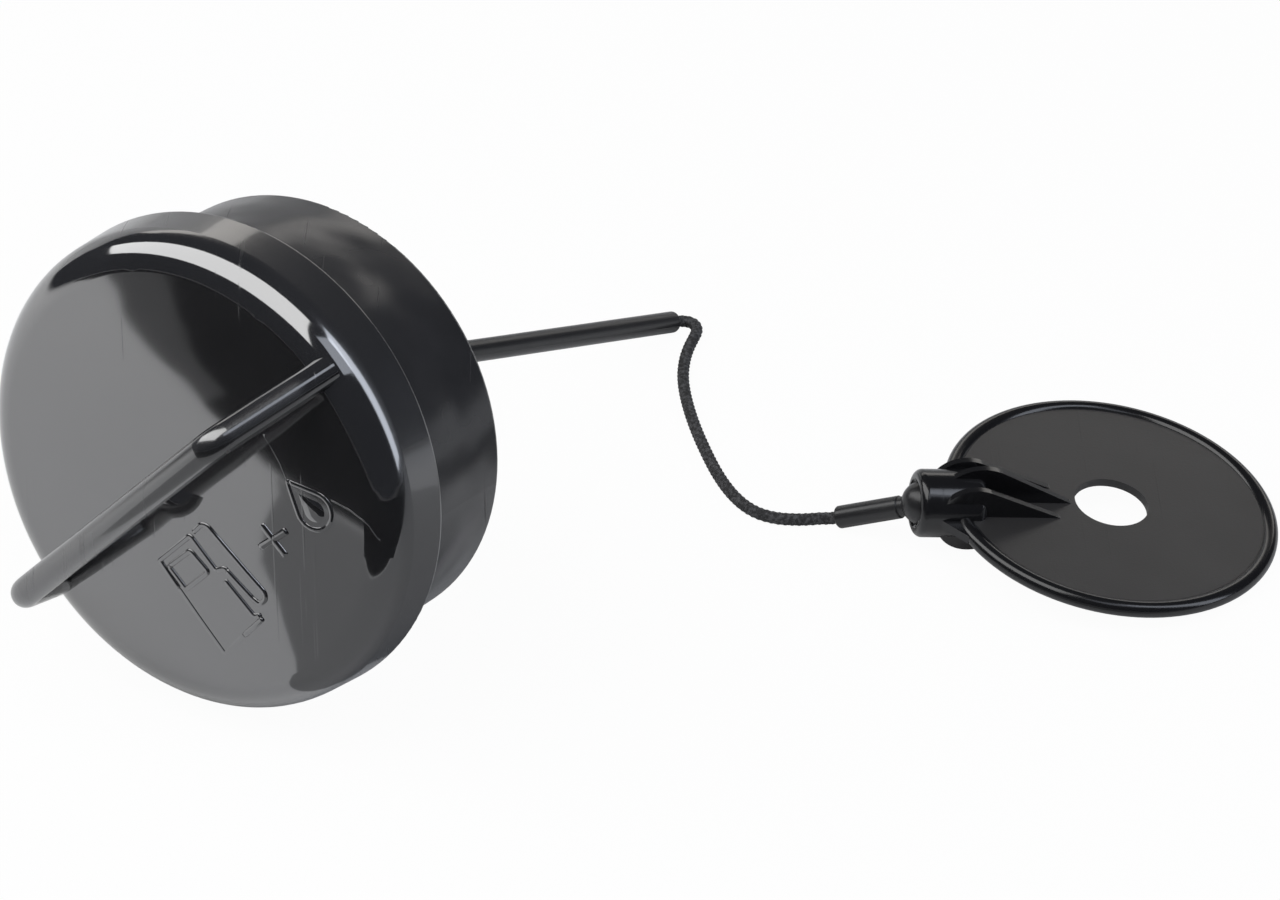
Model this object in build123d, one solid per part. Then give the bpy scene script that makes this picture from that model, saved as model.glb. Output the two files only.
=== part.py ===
from build123d import *
import os
from math import asin, atan, cos, degrees, hypot, pi, radians, sin, tan

# Fuel filler cap with a tether and a retaining disc, lying on a table.
# Millimetres. X runs from the cap to the disc, Y away from the viewer, Z up.
# The origin is on the table, at the middle of the footprint.

# ---- where things lie ----
cap_x = -58.3                # point on the table under the flange's centre
cap_y = -27.54
cap_heading = 32.2           # the dome looks this far from -Y towards -X
disc_x = 66.8                # centre of the retaining disc
disc_y = 1.46
disc_heading = 8.0           # the disc's socket points this far from -X towards -Y
disc_tilt = 7.5              # lean of the disc, held up at the socket by the short sleeve
disc_rise_heading = 10.4     # its raised side lies this far from -X towards +Y
tube_heading = 50.26         # the long sleeve points this far from +X towards +Y
sleeve_heading = 22.2        # the short sleeve points this far from -X towards +Y

# ---- outer shell: dome, flange and bail handle ----
flange_radius = 35.0         # at the flange's rear edge
flange_draft = 0.8           # the side wall leans in by this much up to the face
face_edge_height = 10.4      # where the face would meet the side wall, unrounded
crown = 1.9                  # rise of the face at its middle
edge_rounding = 5.2
rim_rounding = 0.5
roof_height = 7.2            # flat underside of the face
bar_radius = 2.05
bail_angle = 48.0            # direction of the bail across the face
bail_splay = 8.7             # the bail's corners lie this far inside its feet
bail_height = 25.2           # middle of the grip above the flange's rear edge
foot_inset = 3.7             # where a leg's middle line enters the face, inside the flange's edge
foot_height = 9.6
foot_depth = 1.0             # how far a leg runs on inside the wall
bail_bend = 3.2              # bend radius at the bail's corners
snap_depth = 0.5
snap_height = 2.5            # middle of the snap ring above the flange's rear edge
snap_half_width = 0.6

# ---- skirt, seal and bayonet plug ----
flange_step = 3.4            # the flange stands out past the skirt by this much
skirt_depth = 18.7           # below the flange's rear edge
skirt_wall = 2.4
skirt_rim_rounding = 0.7
floor_bottom = 2.0           # web inside the skirt
floor_thickness = 2.5
fit = 0.05                   # radial clearance of pieces that are pressed together
plug_radius = 19.5
plug_wall = 2.8
plug_depth = 28.0
plug_flange_radius = 25.0
partition_top = -6.0         # valve seat inside the plug
partition_thickness = 2.0
port_radius = 6.0
plug_lead_length = 8.0       # slimmer end that enters the neck's throat first
plug_lead_step = 0.5
plug_relief_width = 1.5      # undercut between the lead and the plug
plug_relief_depth = 0.4      # below the lead
lug_radius = 22.6
lug_top = -13.5
lug_height = 4.5
lug_span = 52.0              # degrees
lug_ramp = 5.0               # degrees, slope of the lug's working face
seal_clearance = 1.4         # between the seal and the skirt
seal_thickness = 2.6
seal_lip = 0.5

# ---- vent valve ----
valve_plate_radius = 9.0
valve_plate_thickness = 1.4
valve_seal_radius = 8.5
valve_seal_thickness = 1.0
valve_boss_radius = 3.2
valve_boss_height = 2.0
valve_lift = 1.2             # travel of the relief valve
valve_gap = 0.1              # clearance round the umbrella and above the spring
valve_port_radius = 0.5      # air holes under the umbrella
umbrella_radius = 4.4
umbrella_thickness = 0.4
umbrella_crown = 0.8
umbrella_stem_radius = 1.2
umbrella_bulb_radius = 1.7
umbrella_tip_height = 1.6    # above the plate's boss
spring_wire_radius = 0.4
spring_radius = 4.4
spring_turns = 3.5
valve_cover_thickness = 1.6
valve_cover_seat = 2.6       # underside of the valve cover
cover_ledge = 1.0            # width of the ledge that the valve cover rests on
air_groove_width = 1.6
air_groove_depth = 1.0
spring_guide_clearance = 0.4
spring_guide_wall = 1.0
spring_guide_height = 1.2
vent_hole_radius = 0.9
vent_hole_pitch = 10.0       # from the axis

# ---- ball sockets, shared by the cap end and the disc end ----
ball_radius = 3.3
socket_clearance = 0.06
socket_radius = 5.0
lip_overhang = 1.0           # how far the lip reaches past the ball's middle
socket_mouth_rounding = 1.1
socket_flare = 0.4           # depth of the flared mouth outside the lip
knot_radius = 1.6
knot_clearance = 0.1
neck_radius = 1.5            # of a sleeve where it leaves its ball
neck_end = 3.95              # from the ball's middle

# ---- end cover with the cap's socket ----
cover_thickness = 2.4
socket_offset = 39.0         # ball's middle behind the flange's rear edge
cover_slot_radius = 11.0
cover_slot_count = 6
cover_slot_width = 3.0
cover_slot_length = 6.0
cover_rib_thickness = 1.6
cover_rib_height = 6.0
cover_rib_reach = 4.2        # outwards from the nose

# ---- sleeves and cord ----
sleeve_radius = 1.7
sleeve_mouth_rounding = 0.35
tube_length = 68.6           # ball's middle to the mouth of the long sleeve
short_sleeve_length = 14.4   # ball's middle to the mouth of the short sleeve
cord_radius = 0.95
cord_clearance = 0.1

# ---- retaining disc ----
disc_bead_radius = 23.7      # middle of the bead round the rim
bead_radius = 1.2
disc_thickness = 1.3
disc_hole_radius = 5.5
socket_length = 10.0
barrel_end_rounding = 1.4
socket_mouth = 29.8          # from the disc's centre
fin_spacing = 7.0
fin_thickness = 1.0
fin_lobe_centre = 21.8       # from the disc's centre
fin_lobe_radius = 5.4
fin_tip = 7.0                # from the disc's centre
middle_fin_lobe_centre = 20.3
middle_fin_lobe_radius = 6.6
middle_fin_tip = 4.9
bead_gap_angle = 12.0        # each side of the socket
web_angle = 20.0
web_reach = 27.0
web_half_width = 4.6         # at the barrel, inside its radius

# ---- worked out from the above ----
skirt_radius = flange_radius - flange_step
foot_radius = flange_radius - foot_inset
bail_half_length = foot_radius - bail_splay
seal_outer_radius = skirt_radius - skirt_wall - seal_clearance
plug_lead_radius = plug_radius - plug_lead_step
plug_lead_top = plug_lead_length - plug_depth
floor_top = floor_bottom + floor_thickness
plug_bore = plug_radius - plug_wall
socket_ball_radius = ball_radius + socket_clearance
cord_bore = cord_radius + cord_clearance
knot_bore = knot_radius + knot_clearance
cap_lean = degrees(atan((flange_radius - skirt_radius) / skirt_depth))


def heading(angle, climb=0.0):
    """Unit vector at an angle from +X towards +Y, climbing by another angle."""
    across = cos(radians(climb))
    return Vector(across * cos(radians(angle)), across * sin(radians(angle)), sin(radians(climb)))


dome_direction = heading(-90 - cap_heading, cap_lean)
cap_plane = Plane(
    origin=(cap_x, cap_y, flange_radius * cos(radians(cap_lean))),
    x_dir=heading(-cap_heading),
    z_dir=dome_direction,
)
disc_height = disc_bead_radius * sin(radians(disc_tilt)) + bead_radius
disc_normal = heading(-disc_rise_heading, 90 - disc_tilt)
disc_across = disc_normal.cross(heading(180 + disc_heading)).normalized()
disc_plane = Plane(
    origin=(disc_x, disc_y, disc_height),
    x_dir=disc_across.cross(disc_normal),
    z_dir=disc_normal,
)

socket_face = lip_overhang + socket_flare    # from the ball's middle to the barrel's end
socket_centre = socket_mouth - socket_face
cap_ball = cap_plane.from_local_coords(Vector(0, 0, -socket_offset))
disc_ball = disc_plane.from_local_coords(Vector(socket_centre, 0, 0))


def resting_dip(ball_height, length):
    """How steeply a sleeve falls from its ball, with the rim of its mouth on the table."""
    return degrees(asin(ball_height / hypot(length, sleeve_radius)) - atan(sleeve_radius / length))


tube_direction = heading(tube_heading, -resting_dip(cap_ball.Z, tube_length))
tube_mouth = cap_ball + tube_direction * tube_length
sleeve_direction = heading(180 - sleeve_heading, -resting_dip(disc_ball.Z, short_sleeve_length))
sleeve_mouth = disc_ball + sleeve_direction * short_sleeve_length

# The free cord between the two sleeves, in the row's frame.
tube_lead = 1.0
sleeve_lead = 1.4
cord_points = [
    tube_mouth,
    tube_mouth + tube_direction * tube_lead,
    (4.28, 54.88, 0.99),
    (5.26, 54.76, 0.95),
    (6.11, 54.14, 0.95),
    (6.57, 53.14, 0.95),
    (6.55, 51.79, 0.95),
    (6.0, 49.96, 0.95),
    (5.2, 47.36, 0.95),
    (4.5, 43.76, 0.95),
    (4.2, 38.96, 0.95),
    (4.7, 33.26, 0.95),
    (5.8, 26.76, 0.95),
    (7.4, 20.06, 0.95),
    (9.35, 13.26, 0.95),
    (11.7, 7.86, 0.95),
    (14.4, 4.36, 0.95),
    (17.6, 2.76, 0.95),
    (20.9, 2.46, 0.95),
    (23.0, 2.61, 0.95),
    (24.3, 2.81, 0.95),
    sleeve_mouth + sleeve_direction * sleeve_lead,
    sleeve_mouth,
]


def ring(inner, outer, bottom, top):
    """A plain ring round Z."""
    body = Pos(0, 0, bottom) * Cylinder(outer, top - bottom, align=(Align.CENTER, Align.CENTER, Align.MIN))
    if inner > 0:
        hole = Cylinder(inner, top - bottom, align=(Align.CENTER, Align.CENTER, Align.MIN))
        body -= Pos(0, 0, bottom) * hole
    return body


def turned(points, rounded=()):
    """A solid turned round Z from (radius, height) points, with some corners rounded.

    rounded holds (index of the point, radius).
    """
    outline = make_face(Polyline(*points, close=True))
    for index, radius in rounded:
        corner = Vector(*points[index], 0)
        vertex = min(outline.vertices(), key=lambda v: (v.center() - corner).length)
        outline = fillet(vertex, radius)
    return revolve(Plane.XZ * outline, Axis.Z)


def crowned_blank():
    """The shell's outside, solid: side wall, rounded edge and crowned face."""
    top = (0, face_edge_height + crown)
    corner = (flange_radius - flange_draft, face_edge_height)
    sphere = (corner[0] ** 2 + crown ** 2) / (2 * crown)
    middle_angle = asin(corner[0] / sphere) / 2
    middle = (sphere * sin(middle_angle), top[1] - sphere * (1 - cos(middle_angle)))
    outline = make_face(
        ThreePointArc(top, middle, corner)
        + Line(corner, (flange_radius, 0))
        + Line((flange_radius, 0), (0, 0))
        + Line((0, 0), top)
    )
    for point, radius in ((corner, edge_rounding), ((flange_radius, 0), rim_rounding)):
        vertex = min(outline.vertices(), key=lambda v: (v.center() - Vector(*point, 0)).length)
        outline = fillet(vertex, radius)
    return revolve(Plane.XZ * outline, Axis.Z)


def bail():
    """The round bar of the handle, bent in one plane through the cap's axis."""
    lean = Vector(foot_radius - bail_half_length, foot_height - bail_height).normalized()
    foot_x = foot_radius + lean.X * foot_depth
    foot_z = foot_height + lean.Y * foot_depth
    bail_plane = Plane(origin=(0, 0, 0), x_dir=heading(bail_angle), z_dir=heading(bail_angle - 90))
    line = FilletPolyline(
        (-foot_x, foot_z),
        (-bail_half_length, bail_height),
        (bail_half_length, bail_height),
        (foot_x, foot_z),
        radius=bail_bend,
    )
    path = bail_plane * line
    section = Plane(origin=path @ 0, z_dir=path % 0) * Circle(bar_radius)
    return sweep(section, path=path)


def snap_ring(radius, depth, extra):
    """A ridge with a sharp crest round the inside of a wall, for a snap joint."""
    reach = snap_half_width + extra
    back = radius + reach
    return turned([
        (back, snap_height + 2 * reach),
        (back, snap_height - 2 * reach),
        (radius, snap_height - reach),
        (radius - depth, snap_height),
        (radius, snap_height + reach),
    ])


def outer_shell():
    shell = crowned_blank() + bail()
    inside = skirt_radius + fit
    shell -= ring(0, inside, -1, roof_height)
    return shell + snap_ring(inside, snap_depth, 0)


def skirt_ring():
    inner = skirt_radius - skirt_wall
    body = turned(
        [
            (skirt_radius, -skirt_depth),
            (skirt_radius, roof_height),
            (plug_flange_radius + fit, roof_height),
            (plug_flange_radius + fit, floor_top),
            (plug_radius + fit, floor_top),
            (plug_radius + fit, floor_bottom),
            (inner, floor_bottom),
            (inner, -skirt_depth),
        ],
        [(0, skirt_rim_rounding), (7, skirt_rim_rounding)],
    )
    return body - snap_ring(skirt_radius, snap_depth, 2 * fit)


def bayonet_lug():
    """One lug of the quarter-turn lock, with a ramp on the face that pulls the cap down."""
    half = lug_span / 2
    reach = lug_radius * 2
    wedge = make_face(Polyline(
        (0, 0),
        (reach * cos(radians(half)), -reach * sin(radians(half))),
        (reach * cos(radians(half)), reach * sin(radians(half))),
        close=True,
    ))
    lug = ring(plug_radius - plug_wall / 2, lug_radius, lug_top - lug_height, lug_top)
    lug &= extrude(Pos(0, 0, lug_top - lug_height) * wedge, lug_height)
    drop = lug_radius * sin(radians(half)) * tan(radians(lug_ramp))
    above = Box(reach, reach * 2, lug_height * 2, align=(Align.CENTER, Align.CENTER, Align.MIN))
    return lug - Pos(plug_radius, 0, lug_top - drop) * Rot(lug_ramp, 0, 0) * above


def bayonet_plug():
    body = turned([
        (plug_flange_radius, floor_top),
        (plug_flange_radius, roof_height),
        (plug_bore, roof_height),
        (plug_bore, partition_top),
        (port_radius, partition_top),
        (port_radius, partition_top - partition_thickness),
        (plug_bore, partition_top - partition_thickness),
        (plug_bore, -plug_depth),
        (plug_lead_radius, -plug_depth),
        (plug_lead_radius, plug_lead_top),
        (plug_lead_radius - plug_relief_depth, plug_lead_top),
        (plug_lead_radius - plug_relief_depth, plug_lead_top + plug_relief_width),
        (plug_radius, plug_lead_top + plug_relief_width),
        (plug_radius, floor_top),
    ])
    for turn in (0, 180):
        body += Rot(0, 0, turn) * bayonet_lug()
    # The valve cover rests on a ledge, and a groove in the flange lets air out.
    body += ring(plug_bore - cover_ledge, plug_bore + plug_wall / 2, partition_top, valve_cover_seat)
    groove = Box(plug_flange_radius, air_groove_width, air_groove_depth,
                 align=(Align.MIN, Align.CENTER, Align.MAX))
    return body - Pos(plug_bore - cover_ledge, 0, roof_height) * groove


def sealing_ring():
    inner = plug_radius + fit
    bottom = floor_bottom - seal_thickness
    middle = (inner + seal_outer_radius) / 2
    return turned([
        (inner, floor_bottom),
        (inner, bottom + seal_lip),
        (middle - 2 * seal_lip, bottom + seal_lip),
        (middle - seal_lip, bottom),
        (middle + seal_lip, bottom),
        (middle + 2 * seal_lip, bottom + seal_lip),
        (seal_outer_radius, bottom + seal_lip),
        (seal_outer_radius, floor_bottom),
    ])


def relief_seal():
    return ring(umbrella_radius + 2 * valve_gap, valve_seal_radius,
                partition_top, partition_top + valve_seal_thickness)


def relief_plate():
    bottom = partition_top + valve_seal_thickness
    top = bottom + valve_plate_thickness
    plate = ring(0, valve_plate_radius, bottom, top)
    plate += ring(0, valve_boss_radius, top, top + valve_boss_height)
    plate -= ring(0, umbrella_stem_radius + valve_gap, bottom - 1, top + valve_boss_height + 1)
    pitch = (umbrella_radius + umbrella_stem_radius) / 2
    for turn in range(0, 360, 90):
        port = ring(0, valve_port_radius, bottom - 1, top + valve_boss_height + 1)
        plate -= Rot(0, 0, turn) * Pos(pitch, 0, 0) * port
    return plate


def vacuum_valve():
    """A rubber umbrella that hangs under the relief plate by its stem."""
    under = partition_top + valve_seal_thickness
    boss_top = under + valve_plate_thickness + valve_boss_height
    disc_top = under - valve_gap
    disc_edge = disc_top - umbrella_thickness
    return turned([
        (0, boss_top + umbrella_tip_height),
        (umbrella_stem_radius / 2, boss_top + umbrella_tip_height),
        (umbrella_bulb_radius, boss_top + valve_gap),
        (umbrella_stem_radius, boss_top + valve_gap),
        (umbrella_stem_radius, disc_top),
        (umbrella_radius, disc_top),
        (umbrella_radius, disc_edge),
        (0, disc_edge - umbrella_crown),
    ])


def relief_spring():
    bottom = partition_top + valve_seal_thickness + valve_plate_thickness + spring_wire_radius + valve_gap
    top = valve_cover_seat - spring_wire_radius - valve_gap
    height = top - bottom
    path = Pos(0, 0, bottom) * Helix(pitch=height / spring_turns, height=height, radius=spring_radius)
    section = Plane(origin=path @ 0, z_dir=path % 0) * Circle(spring_wire_radius)
    return sweep(section, path=path, is_frenet=True)


def valve_cover():
    """The spring's upper seat, dropped on the ledge in the plug."""
    top = valve_cover_seat + valve_cover_thickness
    cover = ring(0, plug_bore - fit, valve_cover_seat, top)
    guide = spring_radius + spring_wire_radius + spring_guide_clearance
    cover += ring(guide, guide + spring_guide_wall, valve_cover_seat - spring_guide_height, valve_cover_seat)
    hole = ring(0, vent_hole_radius, valve_cover_seat - 1, top + 1)
    for turn in range(0, 360, 60):
        cover -= Rot(0, 0, turn) * Pos(vent_hole_pitch, 0, 0) * hole
    return cover


def socket_cut():
    """What is cut out of a barrel for the ball: the ball's hollow and the flared mouth.

    The ball's middle is the origin and the mouth faces +Z.
    """
    lip_radius = (socket_ball_radius ** 2 - lip_overhang ** 2) ** 0.5
    mouth = 2 * socket_mouth_rounding
    flare = turned([
        (0, 0),
        (lip_radius, lip_overhang),
        (lip_radius + mouth, lip_overhang + mouth),
        (0, lip_overhang + mouth),
    ])
    return Sphere(socket_ball_radius) + flare


def end_cover():
    """Snaps into the plug's inner end. Its nose holds the tether's ball."""
    bottom = -plug_depth
    nose_end = -socket_offset - socket_face
    cover = ring(0, plug_bore - fit, bottom, bottom + cover_thickness)
    nose = turned(
        [(0, bottom + cover_thickness), (socket_radius, bottom + cover_thickness),
         (socket_radius, nose_end), (0, nose_end)],
        [(2, socket_mouth_rounding)],
    )
    cover += nose
    slot = extrude(SlotOverall(cover_slot_length, cover_slot_width), cover_thickness + 2)
    rib_root = socket_radius - cover_rib_thickness / 2
    rib_profile = make_face(Polyline(
        (rib_root, bottom),
        (socket_radius + cover_rib_reach, bottom),
        (rib_root, bottom - cover_rib_height),
        close=True,
    ))
    rib = extrude(Plane.XZ * rib_profile, cover_rib_thickness / 2, both=True)
    step = 360 / cover_slot_count
    for index in range(cover_slot_count):
        cover -= Rot(0, 0, step * (index + 0.5)) * Pos(cover_slot_radius, 0, bottom - 1) * slot
        cover += Rot(0, 0, step * index) * rib
    return cover - Pos(0, 0, -socket_offset) * Rot(180, 0, 0) * socket_cut()


def ball_sleeve(length):
    """A sleeve that ends in a ball. The ball's middle is the origin, and the sleeve runs along +Z."""
    taper = sleeve_radius - neck_radius
    body = Sphere(ball_radius) + turned(
        [(0, 0), (neck_radius, 0), (neck_radius, neck_end - taper), (sleeve_radius, neck_end),
         (sleeve_radius, length), (0, length)],
        [(4, sleeve_mouth_rounding)],
    )
    body -= ring(0, cord_bore, 0, length + 1)
    body -= Sphere(knot_bore)
    return body - ring(0, knot_bore, -ball_radius - 1, 0)


def cord_end(length):
    """The stretch of cord inside a sleeve, with the knot that holds it in the ball."""
    return Sphere(knot_radius) + ring(0, cord_radius, 0, length)


def on_axis(origin, direction, solid):
    return Plane(origin=origin, z_dir=direction).location * solid


def cord_radii():
    """Each corner takes 0.45 of its shorter run, divided by the tangent of half its turn."""
    points = [Vector(*p) for p in cord_points]
    radii = []
    for before, here, after in zip(points, points[1:], points[2:]):
        first, second = here - before, after - here
        turn = first.get_angle(second)
        shorter = min(first.length, second.length)
        radii.append(0.45 * shorter / tan(radians(turn) / 2))
    return radii


def tether_cord():
    path = FilletPolyline(*cord_points, radius=cord_radii())
    section = Plane(origin=path @ 0, z_dir=path % 0) * Circle(cord_radius)
    cord = sweep(section, path=path, transition=Transition.RIGHT)
    print("cord length", round(path.length, 2), "volume over section x length",
          round(cord.volume / (pi * cord_radius ** 2 * path.length), 4))
    print("cord radii", [round(r, 2) for r in cord_radii()])
    return cord


def bead():
    """The bead round the disc's rim, open at the socket, with round ends."""
    start = bead_gap_angle
    section = Plane.XZ * Pos(disc_bead_radius, 0) * Circle(bead_radius)
    body = Rot(0, 0, start) * revolve(section, Axis.Z, 360 - 2 * start)
    for side in (-1, 1):
        half_ball = Sphere(bead_radius, arc_size1=0, align=(Align.CENTER, Align.CENTER, Align.MIN))
        end = Rot(side * 90, 0, 0) * half_ball
        body += Rot(0, 0, side * start) * Pos(disc_bead_radius, 0, 0) * end
    return body


def fin(tip, lobe_centre, lobe_radius):
    """A teardrop plate that tapers to a point on the disc."""
    slope = asin(lobe_radius / (lobe_centre - tip))
    tangent_x = lobe_centre - lobe_radius * sin(slope)
    tangent_z = lobe_radius * cos(slope)
    profile = make_face(
        Line((tip, 0), (tangent_x, tangent_z))
        + ThreePointArc((tangent_x, tangent_z), (lobe_centre + lobe_radius, 0), (tangent_x, -tangent_z))
        + Line((tangent_x, -tangent_z), (tip, 0))
    )
    return extrude(Plane.XZ * profile, fin_thickness / 2, both=True)


def retaining_disc():
    half = disc_thickness / 2
    disc = ring(0, disc_bead_radius - bead_radius / 2, -half, half) + bead()
    edge = disc_bead_radius + bead_radius
    web = make_face(Polyline(
        (0, 0),
        (edge * cos(radians(web_angle)), -edge * sin(radians(web_angle))),
        (web_reach, -web_half_width),
        (web_reach, web_half_width),
        (edge * cos(radians(web_angle)), edge * sin(radians(web_angle))),
        close=True,
    ))
    disc += extrude(web, half, both=True)
    for side in (-1, 1):
        disc += Pos(0, side * fin_spacing / 2, 0) * fin(fin_tip, fin_lobe_centre, fin_lobe_radius)
    # The middle fin stands on the upper side alone.
    above = Box(disc_bead_radius * 2, fin_thickness * 2, middle_fin_lobe_radius * 2,
                align=(Align.MIN, Align.CENTER, Align.MIN))
    disc += fin(middle_fin_tip, middle_fin_lobe_centre, middle_fin_lobe_radius) & above
    barrel = turned(
        [(0, socket_mouth - socket_length), (socket_radius, socket_mouth - socket_length),
         (socket_radius, socket_mouth), (0, socket_mouth)],
        [(1, barrel_end_rounding), (2, socket_mouth_rounding)],
    )
    disc += Rot(0, 90, 0) * barrel
    disc -= ring(0, disc_hole_radius, -2 * half, 2 * half)
    return disc - Pos(socket_centre, 0, 0) * Rot(0, 90, 0) * socket_cut()


nodes = {
    "outer_shell": cap_plane.location * outer_shell(),
    "skirt_ring": cap_plane.location * skirt_ring(),
    "bayonet_plug": cap_plane.location * bayonet_plug(),
    "sealing_ring": cap_plane.location * sealing_ring(),
    "relief_seal": cap_plane.location * relief_seal(),
    "relief_plate": cap_plane.location * relief_plate(),
    "vacuum_valve": cap_plane.location * vacuum_valve(),
    "relief_spring": cap_plane.location * relief_spring(),
    "valve_cover": cap_plane.location * valve_cover(),
    "end_cover": cap_plane.location * end_cover(),
    "tether_tube": on_axis(cap_ball, tube_direction, ball_sleeve(tube_length)),
    "cord_end_inner": on_axis(cap_ball, tube_direction, cord_end(tube_length)),
    "tether_cord": tether_cord(),
    "ball_sleeve": on_axis(disc_ball, sleeve_direction, ball_sleeve(short_sleeve_length)),
    "cord_end_outer": on_axis(disc_ball, sleeve_direction, cord_end(short_sleeve_length)),
    "retaining_disc": disc_plane.location * retaining_disc(),
}

if __name__ == "__main__":
    os.makedirs("parts", exist_ok=True)
    for name, solid in nodes.items():
        export_step(solid, f"parts/{name}.step")
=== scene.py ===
from math import acos, atan2, cos, pi, radians, sin

import bmesh
import bpy
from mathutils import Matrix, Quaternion, Vector
from mathutils.bvhtree import BVHTree


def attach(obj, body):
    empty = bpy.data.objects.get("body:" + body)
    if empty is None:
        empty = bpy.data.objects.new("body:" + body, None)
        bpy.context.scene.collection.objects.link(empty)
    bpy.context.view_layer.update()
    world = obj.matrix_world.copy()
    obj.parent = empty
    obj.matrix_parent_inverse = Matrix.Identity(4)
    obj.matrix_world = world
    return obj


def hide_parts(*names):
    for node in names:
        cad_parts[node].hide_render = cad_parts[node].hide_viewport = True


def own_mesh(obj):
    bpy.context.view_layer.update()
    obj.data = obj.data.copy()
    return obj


bl_info = {
    "name": "Fuel filler cap",
    "version": (1, 0, 0),
    "blender": (4, 5, 0),
    "location": "3D View > Sidebar > Filler cap",
    "description": "Finishes, signs, cord and stage of a tethered fuel filler cap",
    "category": "Object",
}

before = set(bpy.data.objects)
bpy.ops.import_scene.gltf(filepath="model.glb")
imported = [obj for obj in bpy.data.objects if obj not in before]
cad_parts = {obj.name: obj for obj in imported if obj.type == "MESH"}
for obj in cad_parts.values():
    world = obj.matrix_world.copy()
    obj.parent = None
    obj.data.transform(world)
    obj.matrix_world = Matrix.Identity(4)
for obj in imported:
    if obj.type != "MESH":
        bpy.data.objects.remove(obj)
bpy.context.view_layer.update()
MM = 0.001

# ---- the cap's own axes, in the row's frame ----
FLANGE_CENTRE = Vector((-58.3, -27.54, 34.435)) * MM
DOME_AXIS = Vector((-0.524281, -0.832544, 0.178885))
ACROSS = Vector((0.8462, -0.5329, 0.0))
UPWARD = DOME_AXIS.cross(ACROSS)
# The gloss turns to satin between these heights over the flange's centre, where the bail
# leaves the dome, and between these distances from the dome's axis, on the flange's side.
BAIL_SATIN = (0.0132, 0.0150)
FLANGE_SATIN = (0.0337, 0.0345)

# ---- the retaining disc ----
DISC_CENTRE = Vector((66.8, 1.46, 4.293)) * MM
DISC_NORMAL = Vector((0.128381, -0.023561, 0.991445))
# The plate's flat ends between these distances from its middle plane and from its axis.
PLATE_FACE = (0.00068, 0.00078)
PLATE_EDGE = (0.0224, 0.0228)

# ---- route of the free cord, mouth of the long sleeve to mouth of the short one, in mm ----
CORD_ROUTE = [
    (2.761, 53.78, 1.574),
    (3.353, 54.492, 1.197),
    (4.28, 54.88, 0.99),
    (5.26, 54.76, 0.95),
    (6.11, 54.14, 0.95),
    (6.57, 53.14, 0.95),
    (6.55, 51.79, 0.95),
    (6.0, 49.96, 0.95),
    (5.2, 47.36, 0.95),
    (4.5, 43.76, 0.95),
    (4.2, 38.96, 0.95),
    (4.7, 33.26, 0.95),
    (5.8, 26.76, 0.95),
    (7.4, 20.06, 0.95),
    (9.35, 13.26, 0.95),
    (11.7, 7.86, 0.95),
    (14.4, 4.36, 0.95),
    (17.6, 2.76, 0.95),
    (20.9, 2.46, 0.95),
    (23.0, 2.61, 0.95),
    (24.3, 2.81, 0.95),
    (25.748, 2.766, 0.96),
    (26.915, 2.29, 1.530),
]
RING_STEP = 0.00012  # between two rings of the braid, in metres
RING_POINTS = 48
BRAID_CORE, BRAID_RELIEF = 0.86, 0.14  # shares of the cord's radius
STRAND_ROUNDNESS = 0.6

# ---- signs moulded on the face: (across, upward) in mm from its middle ----
PUMP_STROKES = [
    [(1.0, -15.38), (-2.3, -12.2), (2.7, -6.5), (7.2, -10.3), (8.6, -9.5), (8.9, -9.7)],
    [
        (3.3, -5.7), (4.4, -4.2), (5.4, -4.0), (15.1, -10.9),
        (15.3, -11.9), (14.4, -13.0), (13.2, -12.5), (8.9, -9.7),
    ],
    [(8.7, -11.3), (13.6, -15.2), (14.6, -14.7)],
    [(-0.7, -12.6), (2.3, -15.1), (5.9, -11.0), (2.8, -8.8), (-0.7, -12.6)],
    [(12.1, -18.7), (14.9, -15.1)],
]
PUMP_FAINT_STROKES = [[(1.0, -15.38), (8.9, -23.0), (12.1, -18.7)]]
PLUS_STROKES = [[(14.1, -0.8), (18.1, -4.1)], [(14.1, -4.2), (18.0, -0.4)]]
DROP_MIDDLE = Vector((22.0, 3.9))
DROP_TIP = Vector((17.5, 6.9))
DROP_RADIUS = 2.7
# The line in which two flows of plastic met, from the bail past the drop to the rim.
WELD_LINE = [
    [(13.4, 12.4), (16.2, 9.2), (17.4, 7.2)],
    [(24.4, 6.3), (27.3, 5.8), (30.2, 4.6), (31.8, 2.6)],
]
FACE_PROBE = 15.5  # height over the flange's centre from which the face is looked for
CORNER_REACH = 0.45  # how far from a corner its rounding starts
CORNER_SHARE = 0.45  # the most of a run that one rounding may take
CORNER_POINTS = 5
BEAD_SIDES = 10
BEAD_ROUNDNESS = 0.6
BEAD_SINK = 0.00006  # metres that a line's edges lie under the face
PAD_RINGS = 7
PAD_SINK = 0.00004

# ---- how plastic varies: noise scales per metre, depths in metres ----
CLOUD_SCALE = 90.0
RIPPLES = ((42.0, 1.0), (105.0, 0.4))  # scale and share of the ripple's depth
GRAIN_SCALE = 2600.0
SATIN_ROUGHNESS = 0.20
SATIN_COAT_LOSS = 0.3
COAT_ROUGHNESS = 0.07
SCRATCH_TURNS = (
    ((0.3, 0.9, 0.5), 1500.0),
    ((0.0, 0.4, -0.9), 1250.0),
    ((1.2, -0.9, 0.2), 1700.0),
)
SCRATCH_STRETCH = (1.0, 0.008, 0.008)
PATCH_SCALE = 60.0

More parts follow.
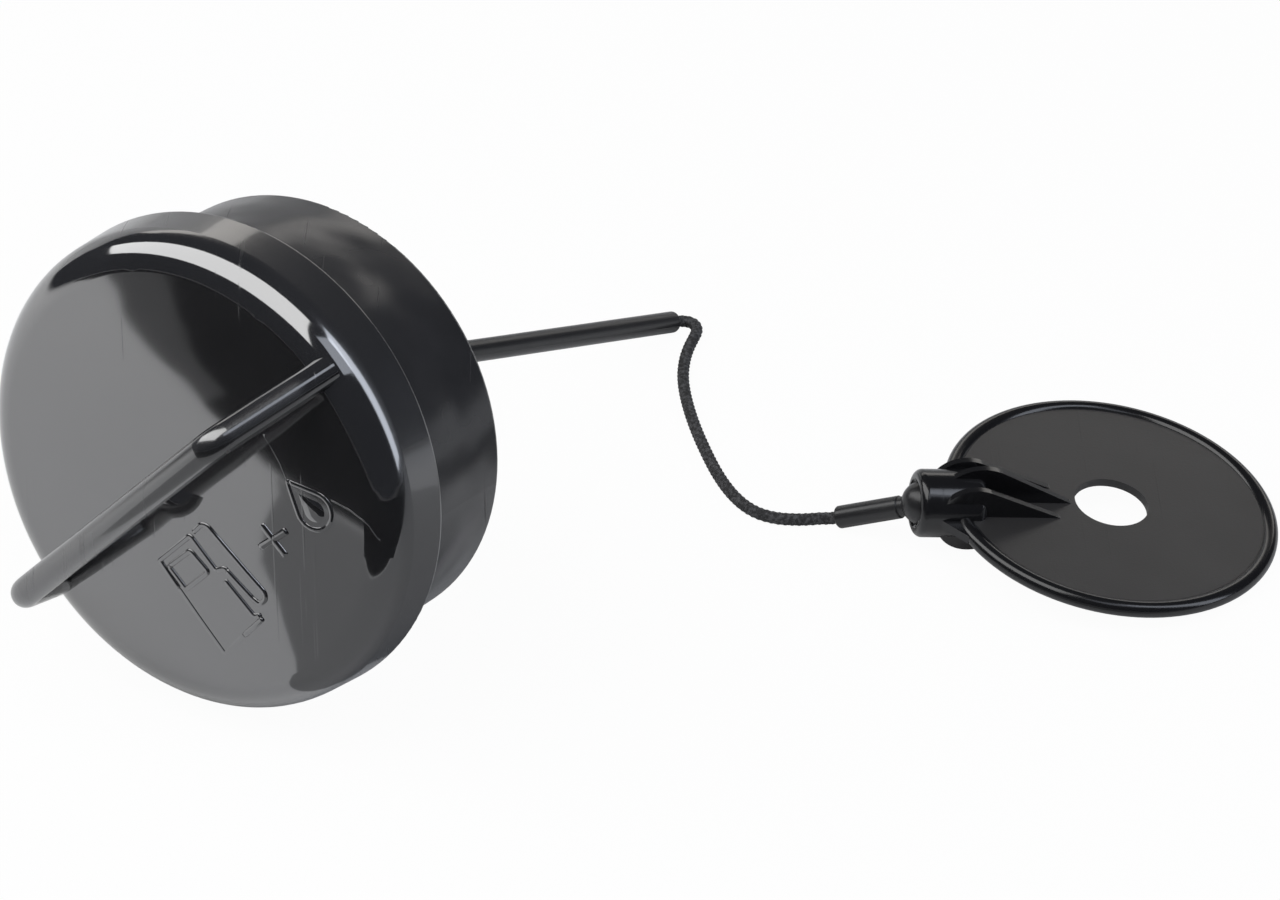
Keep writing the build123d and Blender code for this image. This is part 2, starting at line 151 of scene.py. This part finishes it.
# ---- the stage, in metres ----
FLOOR = [(-2.5, -2.5, 0), (2.5, -2.5, 0), (2.5, 2.5, 0), (-2.5, 2.5, 0)]
BACKDROP = [(-1.2, 0.9, 0), (1.2, 0.9, 0), (1.2, 1.05, 0.42), (-1.2, 1.05, 0.42)]
MIRROR_GLOW = 0.1  # how far the gloss sees the floor lifted to white
DARK_CARD = [
    (-1.4, -1.3), (0.9, -1.3), (0.9, -0.122), (-0.230, -0.124), (-0.262, -0.127),
    (-0.305, -0.127), (-0.346, -0.131), (-0.387, -0.141), (-0.429, -0.136),
    (-0.52, -0.150), (-1.4, -0.165),
]
BAND_CARD = [
    (-0.235, -0.124), (-0.262, -0.127), (-0.305, -0.127), (-0.346, -0.131),
    (-0.387, -0.141), (-0.429, -0.136), (-0.520, -0.150), (-0.600, -0.190),
    (-0.531, -0.221), (-0.465, -0.205), (-0.366, -0.170), (-0.319, -0.154),
    (-0.282, -0.146), (-0.252, -0.142),
]
GREY_CARD = [
    (-0.178, -0.122), (0.9, -0.122), (0.9, -0.032), (-0.030, -0.028),
    (-0.042, -0.048), (-0.076, -0.067), (-0.100, -0.077), (-0.116, -0.082),
    (-0.139, -0.096), (-0.158, -0.111),
]
# name, corners, height over the floor, shade
CARDS = (
    ("dark_card", DARK_CARD, 0.001, 0.012),
    ("band_card", BAND_CARD, 0.002, 0.15),
    ("grey_card", GREY_CARD, 0.001, 0.36),
)
NEUTRAL = (1.0, 1.0, 1.0)
COOL = (0.84, 0.89, 1.0)
WARM = (1.0, 0.965, 0.92)
ROOM_COLOUR = (0.80, 0.86, 1.0, 1.0)
# name, place, target, size, setting of the power, turn about its own axis in degrees, colour
LAMPS = (
    (
        "overhead", (-0.730, 0.080, 0.60), (-0.730, 0.079, 0.0), (1.60, 0.56),
        "overhead_power", -35.0, NEUTRAL,
    ),
    (
        "front_panel", (0.22, -0.30, 0.60), (0.0, -0.05, 0.05), (0.34, 0.20),
        "front_power", 0.0, COOL,
    ),
    (
        "rear_panel", (0.10, 1.00, 0.46), (0.0, 0.0, 0.05), (1.50, 0.30),
        "rear_power", 0.0, WARM,
    ),
    (
        "right_strip", (0.62, -0.21, 0.50), (-0.04, -0.04, 0.06), (0.26, 0.95),
        "side_power", 0.0, COOL,
    ),
)
CAMERA_PLACE = (-0.002405, -0.470513, 0.355158)
CAMERA_DIP = 35.83  # degrees below level


class Socket:
    """A shader socket that can be used in plain arithmetic."""

    def __init__(self, tree, link):
        self.tree = tree
        self.link = link

    def node(self, kind, settings=None, inputs=None, output=0):
        """Adds a node of this type, sets it up, fills its sockets and returns one output."""
        made = self.tree.nodes.new(kind)
        for name, value in (settings or {}).items():
            if name == "stops":
                ramp = made.color_ramp
                while len(ramp.elements) > len(value):
                    ramp.elements.remove(ramp.elements[-1])
                while len(ramp.elements) < len(value):
                    ramp.elements.new(1.0)
                for element, (place, shade) in zip(ramp.elements, value):
                    element.position = place
                    element.color = (shade, shade, shade, 1.0)
            else:
                setattr(made, name, value)
        for name, value in (inputs or {}).items():
            if isinstance(value, Socket):
                self.tree.links.new(value.link, made.inputs[name])
            else:
                made.inputs[name].default_value = value
        return Socket(self.tree, made.outputs[output])

    def math(self, operation, *values):
        return self.node("ShaderNodeMath", {"operation": operation}, dict(enumerate(values)))

    def vector(self, operation, *values, output="Vector"):
        settings = {"operation": operation}
        return self.node("ShaderNodeVectorMath", settings, dict(enumerate(values)), output)

    def __add__(self, other):
        return self.math("ADD", self, other)

    def __sub__(self, other):
        return self.math("SUBTRACT", self, other)

    def __rsub__(self, other):
        return self.math("SUBTRACT", other, self)

    def __mul__(self, other):
        return self.math("MULTIPLY", self, other)

    __radd__ = __add__
    __rmul__ = __mul__


class Finish:
    """One material with its shader and the coordinates that go with the piece."""

    def __init__(self, name):
        self.material = bpy.data.materials.new(name)
        self.material.use_nodes = True
        tree = self.material.node_tree
        self.shader = tree.nodes["Principled BSDF"]
        self.start = Socket(tree, None)
        self.place = self.start.node("ShaderNodeTexCoord", output="Object")

    def set(self, **values):
        for name, value in values.items():
            socket = self.shader.inputs[name.replace("_", " ")]
            if isinstance(value, Socket):
                self.start.tree.links.new(value.link, socket)
            else:
                socket.default_value = value

    def noise(
        self, scale, detail=2.0, roughness=0.5, stretch=(1.0, 1.0, 1.0), turn=(0.0, 0.0, 0.0)
    ):
        """Noise from 0 to 1, with features of 1 / scale metres."""
        coords = self.start.node(
            "ShaderNodeMapping", {}, {"Vector": self.place, "Rotation": turn, "Scale": stretch}
        )
        return self.start.node(
            "ShaderNodeTexNoise", {},
            {"Vector": coords, "Scale": scale, "Detail": detail, "Roughness": roughness},
        )

    def ramp(self, value, stops):
        return self.start.node("ShaderNodeValToRGB", {"stops": stops}, {"Fac": value})

    def between(self, value, limits, start=0.0, end=1.0):
        """Goes from start to end while the value goes from one limit to the other."""
        low, high = limits
        return self.start.node(
            "ShaderNodeMapRange", {},
            {"Value": value, "From Min": low, "From Max": high, "To Min": start, "To Max": end},
        )

    def mix(self, factor, first, second):
        """A blend of two colours."""
        # A Mix node set to colours takes them at 6 and 7, and gives its colour at 2.
        return self.start.node(
            "ShaderNodeMix", {"data_type": "RGBA"}, {0: factor, 6: first, 7: second}, 2
        )

    def bump(self, height, distance, strength=1.0, normal=None):
        inputs = {"Height": height, "Distance": distance, "Strength": strength}
        if normal is not None:
            inputs["Normal"] = normal
        return self.start.node("ShaderNodeBump", {}, inputs)

    def height_over(self, point, axis):
        """The vector from a point to the surface, and its length along an axis."""
        apart = self.start.vector("SUBTRACT", self.place, tuple(point))
        return apart, self.start.vector("DOT_PRODUCT", apart, tuple(axis), output="Value")

    def scratches(self, amount):
        """Straight hairlines in three directions, 0 on bare plastic and up to 1 in a scratch."""
        total = None
        for turn, scale in SCRATCH_TURNS:
            lines = self.noise(scale, 1.0, 0.4, SCRATCH_STRETCH, turn)
            patches = self.noise(PATCH_SCALE, 2.0, 0.5, turn=turn)
            thin = self.ramp(lines, [(0.70, 0.0), (0.76, 1.0)])
            some = self.ramp(patches, [(0.50, 0.0), (0.62, 1.0)])
            each = thin * some * amount
            total = each if total is None else total + each
        return total


def make_object(name, mesh, material):
    piece = bpy.data.objects.new(name, mesh)
    bpy.context.scene.collection.objects.link(piece)
    mesh.materials.append(material)
    return piece


def give_finish(names, material):
    """Puts one material on CAD nodes."""
    for name in names:
        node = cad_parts[name]
        node.data.materials.clear()
        node.data.materials.append(material)


def moulded(
    name, colour, roughness, ripple, scratch, coat=0.0, ior=1.5, grain=0.0, metallic=0.0, satin=None
):
    """A moulded piece's finish: slow ripples, hairline scratches and uneven gloss.

    Where satin is 1 the coat is thinner and the surface rougher. The spring's wire has this
    finish too, as a metal."""
    finish = Finish(name)
    cloud = finish.noise(CLOUD_SCALE, 3.0)
    marks = finish.scratches(scratch)
    dark = [channel * 0.8 for channel in colour[:3]] + [1.0]
    light = [channel * 1.25 + 0.004 for channel in colour[:3]] + [1.0]
    gloss = roughness + (cloud - 0.5) * roughness * 0.5 + marks * 0.25
    if satin is not None:
        part = satin(finish)
        gloss = gloss + part * SATIN_ROUGHNESS
        coat = (1.0 - part * SATIN_COAT_LOSS) * coat
    surface = None
    for scale, share in RIPPLES:
        surface = finish.bump(finish.noise(scale, 1.0, 0.3), ripple * share, 1.0, surface)
    if grain:
        surface = finish.bump(finish.noise(GRAIN_SCALE, 2.0), grain, 1.0, surface)
    surface = finish.bump(marks, 0.00004, 0.5, surface)
    finish.set(
        Base_Color=finish.mix(cloud, dark, light), Roughness=gloss, Normal=surface,
        IOR=ior, Metallic=metallic,
    )
    if satin is not None or coat:
        finish.set(Coat_Weight=coat, Coat_Roughness=COAT_ROUGHNESS, Coat_IOR=ior)
    return finish.material


def satin_part(finish):
    """1 on the bail and on the flange's side, which are less glossy than the face, else 0."""
    apart, height = finish.height_over(FLANGE_CENTRE, DOME_AXIS)
    along = finish.start.node(
        "ShaderNodeVectorMath", {"operation": "SCALE"}, {0: tuple(DOME_AXIS), "Scale": height}
    )
    from_axis = finish.start.vector("DISTANCE", apart, along, output="Value")
    bail = finish.between(height, BAIL_SATIN)
    return bail.math("MAXIMUM", bail, finish.between(from_axis, FLANGE_SATIN))


class CapSettings(bpy.types.PropertyGroup):
    shell_colour: bpy.props.FloatVectorProperty(
        name="Shell colour", description="Colour of the dome and bail", size=4,
        subtype="COLOR", default=(0.015, 0.015, 0.0165, 1.0), min=0.0, max=1.0,
    )
    shell_roughness: bpy.props.FloatProperty(
        name="Shell roughness", description="Gloss of the dome and bail",
        default=0.06, min=0.0, max=1.0,
    )
    skirt_colour: bpy.props.FloatVectorProperty(
        name="Skirt colour", description="Colour of the skirt", size=4,
        subtype="COLOR", default=(0.024, 0.024, 0.026, 1.0), min=0.0, max=1.0,
    )
    sign_width: bpy.props.FloatProperty(
        name="Sign width", description="Width of the lines of the signs on the face",
        subtype="DISTANCE", unit="LENGTH", default=0.00080,
    )
    sign_height: bpy.props.FloatProperty(
        name="Sign height", description="How far the lines stand proud of the face",
        subtype="DISTANCE", unit="LENGTH", default=0.00030,
    )


class TetherSettings(bpy.types.PropertyGroup):
    cord_diameter: bpy.props.FloatProperty(
        name="Cord diameter", description="Diameter of the braided cord",
        subtype="DISTANCE", unit="LENGTH", default=0.0019,
    )
    strands: bpy.props.IntProperty(
        name="Strands", description="Strands that wind each way round the braid",
        default=6, min=3,
    )
    braid_pitch: bpy.props.FloatProperty(
        name="Braid pitch", description="Length in which a strand goes once round",
        subtype="DISTANCE", unit="LENGTH", default=0.0060,
    )
    cord_colour: bpy.props.FloatVectorProperty(
        name="Cord colour", description="Colour of the cord's yarn", size=4,
        subtype="COLOR", default=(0.020, 0.020, 0.021, 1.0), min=0.0, max=1.0,
    )


class StageSettings(bpy.types.PropertyGroup):
    floor_colour: bpy.props.FloatVectorProperty(
        name="Floor colour", description="Colour of the floor under the cap", size=4,
        subtype="COLOR", default=(0.86, 0.86, 0.86, 1.0), min=0.0, max=1.0,
    )
    lens: bpy.props.FloatProperty(
        name="Lens", description="Focal length of the camera", unit="CAMERA",
        default=112.5, min=10.0,
    )
    overhead_power: bpy.props.FloatProperty(
        name="Overhead light", description="Power of the strip light above", subtype="POWER",
        unit="POWER", default=8.0, min=0.0,
    )
    rear_power: bpy.props.FloatProperty(
        name="Rear light", description="Power of the panel light behind", subtype="POWER",
        unit="POWER", default=2.0, min=0.0,
    )
    front_power: bpy.props.FloatProperty(
        name="Front light", description="Power of the small panel light in front", subtype="POWER",
        unit="POWER", default=0.26, min=0.0,
    )
    side_power: bpy.props.FloatProperty(
        name="Side light", description="Power of the strip light on the right", subtype="POWER",
        unit="POWER", default=2.3, min=0.0,
    )
    floor_glow: bpy.props.FloatProperty(
        name="Floor glow", description="How far the floor is lifted to white",
        default=0.965, min=0.0, max=1.0,
    )
    world_strength: bpy.props.FloatProperty(
        name="Room light", description="Strength of the light from all round",
        default=0.045, min=0.0,
    )


def add_panel_light(name, place, target, size, power, turn, colour):
    """A soft rectangular lamp that looks at a point, turned about its own axis."""
    data = bpy.data.lights.new(name, "AREA")
    data.shape = "RECTANGLE"
    data.size, data.size_y = size
    data.energy = power
    data.color = colour
    lamp = bpy.data.objects.new(name, data)
    lamp.location = place
    facing = (Vector(target) - Vector(place)).to_track_quat("-Z", "Y")
    lamp.rotation_euler = (facing @ Quaternion((0.0, 0.0, 1.0), radians(turn))).to_euler()
    bpy.context.scene.collection.objects.link(lamp)


def add_sheet(name, corners):
    """A flat sheet with these corners."""
    mesh = bpy.data.meshes.new(name)
    mesh.from_pydata(corners, [], [tuple(range(len(corners)))])
    sheet = bpy.data.objects.new(name, mesh)
    bpy.context.scene.collection.objects.link(sheet)
    return sheet


def add_card(name, corners, height, shade):
    """A matt card that lies just over the floor and shows only in the gloss."""
    card = add_sheet(name, [(x, y, height) for x, y in corners])
    finish = Finish(name + "_face")
    finish.set(Base_Color=(shade, shade, shade, 1.0), Roughness=1.0, Specular_IOR_Level=0.0)
    card.data.materials.append(finish.material)
    card.visible_camera = False
    card.visible_diffuse = False
    card.visible_shadow = False
    return card


def pale_finish(name, colour, glow):
    """Matt paper that the camera and the gloss see nearly white, with the shadows kept."""
    finish = Finish(name)
    finish.set(Base_Color=colour, Roughness=0.9, Specular_IOR_Level=0.1)
    seen = finish.start.node("ShaderNodeLightPath", output="Is Camera Ray")
    mirrored = finish.start.node("ShaderNodeLightPath", output="Is Glossy Ray")
    through = finish.start.node("ShaderNodeLightPath", output="Is Transmission Ray")
    share = seen * glow + mirrored.math("MAXIMUM", mirrored, through) * MIRROR_GLOW
    white = finish.start.node(
        "ShaderNodeEmission", {}, {"Color": (1.0, 1.0, 1.0, 1.0), "Strength": 1.0}
    )
    tree = finish.material.node_tree
    paper = Socket(tree, finish.shader.outputs[0])
    blend = finish.start.node("ShaderNodeMixShader", {}, {0: share, 1: paper, 2: white})
    tree.links.new(blend.link, tree.nodes["Material Output"].inputs["Surface"])
    return finish.material


class FILLERCAP_OT_stage(bpy.types.Operator):
    """Sets up the floor, the lamps and the camera"""

    bl_idname = "fillercap.stage"
    bl_label = "Stage"

    def execute(self, context):
        settings = context.scene.fillercap_stage
        scene = context.scene
        floor = add_sheet("floor", FLOOR)
        rear = add_sheet("backdrop", BACKDROP)
        for sheet in (floor, rear):
            paper = pale_finish(
                sheet.name + "_paper", tuple(settings.floor_colour), settings.floor_glow
            )
            sheet.data.materials.append(paper)
        # The cards give the gloss its dark and its half-dark side.
        dark, band, grey = [add_card(*card) for card in CARDS]

        world = bpy.data.worlds.new("studio")
        world.use_nodes = True
        room = world.node_tree.nodes["Background"].inputs
        room["Color"].default_value = ROOM_COLOUR
        room["Strength"].default_value = settings.world_strength
        scene.world = world
        for name, place, target, size, power, turn, colour in LAMPS:
            add_panel_light(name, place, target, size, getattr(settings, power), turn, colour)

        data = bpy.data.cameras.new("camera")
        data.lens = settings.lens
        data.sensor_width = 36.0
        data.sensor_fit = "HORIZONTAL"
        camera = bpy.data.objects.new("camera", data)
        camera.location = CAMERA_PLACE
        camera.rotation_euler = (radians(90.0 - CAMERA_DIP), 0.0, 0.0)
        scene.collection.objects.link(camera)
        scene.camera = camera
        scene.view_settings.view_transform = "Standard"
        return {"FINISHED"}


class FILLERCAP_OT_cap(bpy.types.Operator):
    """Finishes the shell, skirt, plug, seals and valve, and adds the valve's spring"""

    bl_idname = "fillercap.cap"
    bl_label = "Cap"

    def execute(self, context):
        settings = context.scene.fillercap_cap
        shell = moulded(
            "gloss_moulding", settings.shell_colour, settings.shell_roughness,
            ripple=0.00016, scratch=0.6, coat=1.0, ior=2.0, satin=satin_part,
        )
        give_finish(["outer_shell"], shell)
        skirt = moulded(
            "skirt_moulding", settings.skirt_colour, 0.24, ripple=0.0016, scratch=1.0, ior=1.55
        )
        give_finish(["skirt_ring"], skirt)
        inner = moulded(
            "plug_moulding", (0.022, 0.022, 0.023), 0.38, ripple=0.0001, scratch=0.3, grain=0.00001
        )
        give_finish(["bayonet_plug", "end_cover"], inner)
        rubber = moulded(
            "seal_rubber", (0.014, 0.014, 0.014), 0.62, ripple=0.00008, scratch=0.1, grain=0.00003
        )
        give_finish(["sealing_ring", "relief_seal", "vacuum_valve"], rubber)
        acetal = moulded(
            "natural_acetal", (0.62, 0.61, 0.57), 0.42, ripple=0.00005, scratch=0.1, grain=0.00001
        )
        give_finish(["relief_plate", "valve_cover"], acetal)
        steel = moulded(
            "spring_steel", (0.60, 0.60, 0.62), 0.28, ripple=0.00001, scratch=0.5, metallic=1.0
        )
        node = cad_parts["relief_spring"]
        mesh = node.data.copy()
        mesh.materials.clear()
        spring = make_object("coiled_spring", mesh, steel)
        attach(spring, "cap")
        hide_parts("relief_spring")
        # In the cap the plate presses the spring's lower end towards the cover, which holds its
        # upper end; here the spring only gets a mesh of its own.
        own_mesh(spring)
        return {"FINISHED"}


def face_point(across, upward, tree):
    """Where a point on the sign's plan meets the dome, and the dome's direction there."""
    start = FLANGE_CENTRE + (ACROSS * across + UPWARD * upward + DOME_AXIS * FACE_PROBE) * MM
    hit, normal, _index, _distance = tree.ray_cast(start, -DOME_AXIS)
    if hit is None:
        raise RuntimeError("a sign's line leaves the face")
    return hit, normal


def drop_outline(radius, tip_share):
    """A teardrop: most of a circle and the two tangents from its tip."""
    tip = DROP_MIDDLE + (DROP_TIP - DROP_MIDDLE) * tip_share
    reach = tip - DROP_MIDDLE
    towards = atan2(reach.y, reach.x)
    opening = acos(radius / reach.length)
    count = 24
    outline = [tip]
    for index in range(count + 1):
        angle = towards + opening + (2 * pi - 2 * opening) * index / count
        outline.append(DROP_MIDDLE + Vector((cos(angle), sin(angle))) * radius)
    return outline + [tip]


def eased(line):
    """The same line with its corners rounded off."""
    points = [Vector(point) for point in line]
    closed = (points[0] - points[-1]).length < 1e-6
    if closed:
        points = points[:-1]
    result = []
    for index, here in enumerate(points):
        if not closed and index in (0, len(points) - 1):
            result.append(here)
            continue
        before, after = points[index - 1], points[(index + 1) % len(points)]
        start = here.lerp(before, min(CORNER_SHARE, CORNER_REACH / (here - before).length))
        end = here.lerp(after, min(CORNER_SHARE, CORNER_REACH / (here - after).length))
        for turn in range(CORNER_POINTS):
            share = turn / (CORNER_POINTS - 1)
            result.append(start.lerp(here, share).lerp(here.lerp(end, share), share))
    if closed:
        result.append(result[0])
    return result


def stroke_samples(line, step=0.3):
    """Points along a line of straight runs, a step apart."""
    samples = []
    for first, second in zip(line, line[1:]):
        run = (Vector(second) - Vector(first)).length
        count = max(1, int(run / step))
        for index in range(count):
            samples.append(Vector(first).lerp(Vector(second), index / count))
    samples.append(Vector(line[-1]))
    return samples


def run_past(points, index):
    """The vector between the neighbours of a point on an open line."""
    return points[min(index + 1, len(points) - 1)] - points[max(index - 1, 0)]


def join_rows(mesh, rows, closed):
    """Lays faces between rows of points, all the way round where the rows are closed."""
    for row, following in zip(rows, rows[1:]):
        for index in range(len(row) if closed else len(row) - 1):
            after = (index + 1) % len(row)
            mesh.faces.new((row[index], row[after], following[after], following[index]))


def smooth_mesh(built, name):
    """Turns what was built into a smooth mesh with its faces pointing out."""
    bmesh.ops.recalc_face_normals(built, faces=built.faces)
    mesh = bpy.data.meshes.new(name)
    built.to_mesh(mesh)
    built.free()
    mesh.shade_smooth()
    return mesh


def add_stroke(mesh, line, tree, width, height):
    """A half-round bead that follows the dome."""
    samples = stroke_samples(eased(line))
    rows = []
    for index, sample in enumerate(samples):
        hit, normal = face_point(sample.x, sample.y, tree)
        run = run_past(samples, index)
        along = (ACROSS * run.x + UPWARD * run.y).normalized()
        side = normal.cross(along).normalized()
        row = []
        for turn in range(BEAD_SIDES + 1):
            angle = pi * turn / BEAD_SIDES
            rise = sin(angle) ** BEAD_ROUNDNESS * height - BEAD_SINK
            row.append(mesh.verts.new(hit + side * cos(angle) * width / 2 + normal * rise))
        rows.append(row)
    join_rows(mesh, rows, closed=False)
    mesh.faces.new(rows[0][::-1])
    mesh.faces.new(rows[-1])


def add_pad(mesh, outline, tree, height):
    """A low dome inside a closed outline on the face."""
    middle = sum(outline[:-1], Vector((0.0, 0.0))) / (len(outline) - 1)
    rows = []
    for step in range(PAD_RINGS):
        share = 1.0 - step / PAD_RINGS
        row = []
        for point in outline[:-1]:
            place = middle.lerp(point, share)
            hit, normal = face_point(place.x, place.y, tree)
            row.append(mesh.verts.new(hit + normal * (height * (1.0 - share ** 3) - PAD_SINK)))
        rows.append(row)
    join_rows(mesh, rows, closed=True)
    mesh.faces.new(rows[-1])


class FILLERCAP_OT_signs(bpy.types.Operator):
    """Adds the pump, plus and drop signs and the weld line on the face"""

    bl_idname = "fillercap.signs"
    bl_label = "Signs"

    def execute(self, context):
        settings = context.scene.fillercap_cap
        shell = bmesh.new()
        shell.from_mesh(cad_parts["outer_shell"].data)
        tree = BVHTree.FromBMesh(shell)
        shell.free()
        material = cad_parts["outer_shell"].data.materials[0]
        width, height = settings.sign_width, settings.sign_height
        # Each group has its lines, and its shares of the signs' width and height.
        signs = (
            ("pump_sign", ((PUMP_STROKES, 1.0, 1.0), (PUMP_FAINT_STROKES, 0.9, 0.45))),
            ("plus_sign", ((PLUS_STROKES, 1.35, 1.0),)),
            ("drop_sign", (([drop_outline(DROP_RADIUS, 1.0)], 0.9, 0.6),)),
            ("weld_line", ((WELD_LINE, 0.3, 0.30),)),
        )
        for name, groups in signs:
            built = bmesh.new()
            for strokes, width_share, height_share in groups:
                for line in strokes:
                    add_stroke(built, line, tree, width * width_share, height * height_share)
            if name == "drop_sign":
                inner_drop = drop_outline(DROP_RADIUS * 0.62, 0.62)
                add_pad(built, inner_drop, tree, height * 0.8)
            piece = make_object(name, smooth_mesh(built, name), material)
            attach(piece, "cap")
        return {"FINISHED"}


class FILLERCAP_OT_sleeves(bpy.types.Operator):
    """Finishes the two sleeves and the ends of the cord inside them"""

    bl_idname = "fillercap.sleeves"
    bl_label = "Sleeves"

    def execute(self, context):
        sleeve = moulded(
            "sleeve_moulding", (0.020, 0.020, 0.021), 0.30,
            ripple=0.00004, scratch=0.5, grain=0.000006,
        )
        give_finish(["tether_tube", "ball_sleeve"], sleeve)
        yarn = moulded(
            "inner_yarn", (0.02, 0.02, 0.021), 0.8, ripple=0.00002, scratch=0.1, grain=0.00003
        )
        give_finish(["cord_end_inner", "cord_end_outer"], yarn)
        return {"FINISHED"}


def route_samples(points):
    """Points read from one smooth spline with these control points."""
    data = bpy.data.curves.new("cord_line", "CURVE")
    data.dimensions = "3D"
    spline = data.splines.new("NURBS")
    spline.points.add(len(points) - 1)
    for point, place in zip(spline.points, points):
        point.co = (*[value * MM for value in place], 1.0)
    spline.order_u = 3
    spline.use_endpoint_u = True
    spline.resolution_u = 24
    line = bpy.data.objects.new("cord_line", data)
    bpy.context.scene.collection.objects.link(line)
    bpy.context.view_layer.update()
    mesh = bpy.data.meshes.new_from_object(line)
    samples = [vertex.co.copy() for vertex in mesh.vertices]
    bpy.data.objects.remove(line)
    return samples


def evenly_spaced(samples, step):
    """The same line with points a fixed step apart."""
    even = [samples[0]]
    carried = 0.0
    for first, second in zip(samples, samples[1:]):
        run = (second - first).length
        if run == 0:
            continue
        at = step - carried
        while at <= run:
            even.append(first.lerp(second, at / run))
            at += step
        carried = run - (at - step)
    if (even[-1] - samples[-1]).length > step / 3:
        even.append(samples[-1])
    return even


def braid_height(turn, along, strands, pitch):
    """Height of a braid's surface, 0 in the gaps and 1 on top of a strand."""
    left = strands * (turn + along / pitch)
    right = strands * (turn - along / pitch)
    return abs(sin(pi * left)) ** STRAND_ROUNDNESS * abs(sin(pi * right)) ** STRAND_ROUNDNESS


class FILLERCAP_OT_cord(bpy.types.Operator):
    """Braids the free cord between the sleeves"""

    bl_idname = "fillercap.cord"
    bl_label = "Cord"

    def execute(self, context):
        settings = context.scene.fillercap_tether
        path = evenly_spaced(route_samples(CORD_ROUTE), RING_STEP)
        radius = settings.cord_diameter / 2
        built = bmesh.new()
        side = Vector((0, 0, 1))
        rows, travelled = [], 0.0
        for index, place in enumerate(path):
            along = run_past(path, index).normalized()
            side = (side - along * side.dot(along)).normalized()
            other = along.cross(side)
            if index:
                travelled += (place - path[index - 1]).length
            row = []
            for step in range(RING_POINTS):
                turn = step / RING_POINTS
                height = braid_height(turn, travelled, settings.strands, settings.braid_pitch)
                out = radius * (BRAID_CORE + BRAID_RELIEF * height)
                direction = side * cos(2 * pi * turn) + other * sin(2 * pi * turn)
                row.append(built.verts.new(place + direction * out))
            rows.append(row)
        join_rows(built, rows, closed=True)
        built.faces.new(rows[0][::-1])
        built.faces.new(rows[-1])
        mesh = smooth_mesh(built, "braided_cord")
        finish = Finish("braided_yarn")
        # The lighter flecks mixed into the yarn's colour are painted highlights on the strands; the
        # same flecks also make the yarn a little rougher.
        cloud = finish.ramp(finish.noise(1600.0, 2.0), [(0.44, 0.0), (0.62, 1.0)])
        finish.set(
            Base_Color=finish.mix(cloud, tuple(settings.cord_colour), (0.085, 0.085, 0.088, 1.0)),
            Roughness=0.7 + cloud * 0.2,
            Normal=finish.bump(finish.noise(5200.0, 2.0), 0.00003),
        )
        piece = make_object("braided_cord", mesh, finish.material)
        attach(piece, "tether")
        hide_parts("tether_cord")
        length = sum((b - a).length for a, b in zip(path, path[1:]))
        return {"FINISHED"}


class FILLERCAP_OT_retainer(bpy.types.Operator):
    """Finishes the retaining disc with its bead, barrel and fins"""

    bl_idname = "fillercap.retainer"
    bl_label = "Retaining disc"

    def execute(self, context):
        finish = Finish("disc_moulding")
        offset, height = finish.height_over(DISC_CENTRE, DISC_NORMAL)
        reach = offset.vector("LENGTH", offset, output="Value")
        low = finish.between(height.math("ABSOLUTE", height), PLATE_FACE, 1.0, 0.0)
        plate = low * finish.between(reach, PLATE_EDGE, 1.0, 0.0)
        cloud = finish.noise(110.0, 3.0)
        marks = finish.scratches(0.5)
        satin = finish.mix(cloud, (0.031, 0.030, 0.030, 1.0), (0.042, 0.041, 0.041, 1.0))
        finish.set(Base_Color=finish.mix(plate, (0.010, 0.010, 0.011, 1.0), satin))
        finish.set(Roughness=0.17 + plate * 0.20 + (cloud - 0.5) * 0.06 + marks * 0.2)
        surface = finish.bump(finish.noise(60.0, 1.0, 0.3), 0.00010)
        surface = finish.bump(finish.noise(3400.0, 2.0) * plate, 0.000012, 1.0, surface)
        finish.set(Normal=finish.bump(marks, 0.00003, 0.5, surface), IOR=1.55)
        give_finish(["retaining_disc"], finish.material)
        return {"FINISHED"}


class FILLERCAP_PT_panel(bpy.types.Panel):
    bl_label = "Filler cap"
    bl_idname = "FILLERCAP_PT_panel"
    bl_space_type = "VIEW_3D"
    bl_region_type = "UI"
    bl_category = "Filler cap"

    def draw(self, context):
        column = self.layout.column()
        for operator in OPERATORS:
            column.operator(operator.bl_idname)
        for group in ("fillercap_cap", "fillercap_tether", "fillercap_stage"):
            settings = getattr(context.scene, group)
            for name in settings.__annotations__:
                column.prop(settings, name)


OPERATORS = (
    FILLERCAP_OT_stage,
    FILLERCAP_OT_cap,
    FILLERCAP_OT_signs,
    FILLERCAP_OT_sleeves,
    FILLERCAP_OT_cord,
    FILLERCAP_OT_retainer,
)
GROUPS = {
    "fillercap_cap": CapSettings,
    "fillercap_tether": TetherSettings,
    "fillercap_stage": StageSettings,
}


def register():
    for group in GROUPS.values():
        bpy.utils.register_class(group)
    for operator in OPERATORS:
        bpy.utils.register_class(operator)
    bpy.utils.register_class(FILLERCAP_PT_panel)
    for name, group in GROUPS.items():
        setattr(bpy.types.Scene, name, bpy.props.PointerProperty(type=group))


def unregister():
    for name in GROUPS:
        delattr(bpy.types.Scene, name)
    bpy.utils.unregister_class(FILLERCAP_PT_panel)
    for operator in reversed(OPERATORS):
        bpy.utils.unregister_class(operator)
    for group in reversed(list(GROUPS.values())):
        bpy.utils.unregister_class(group)


def main():
    register()
    bpy.ops.fillercap.stage()
    bpy.ops.fillercap.cap()
    bpy.ops.fillercap.signs()
    bpy.ops.fillercap.sleeves()
    bpy.ops.fillercap.cord()
    bpy.ops.fillercap.retainer()


if __name__ == "__main__":
    main()
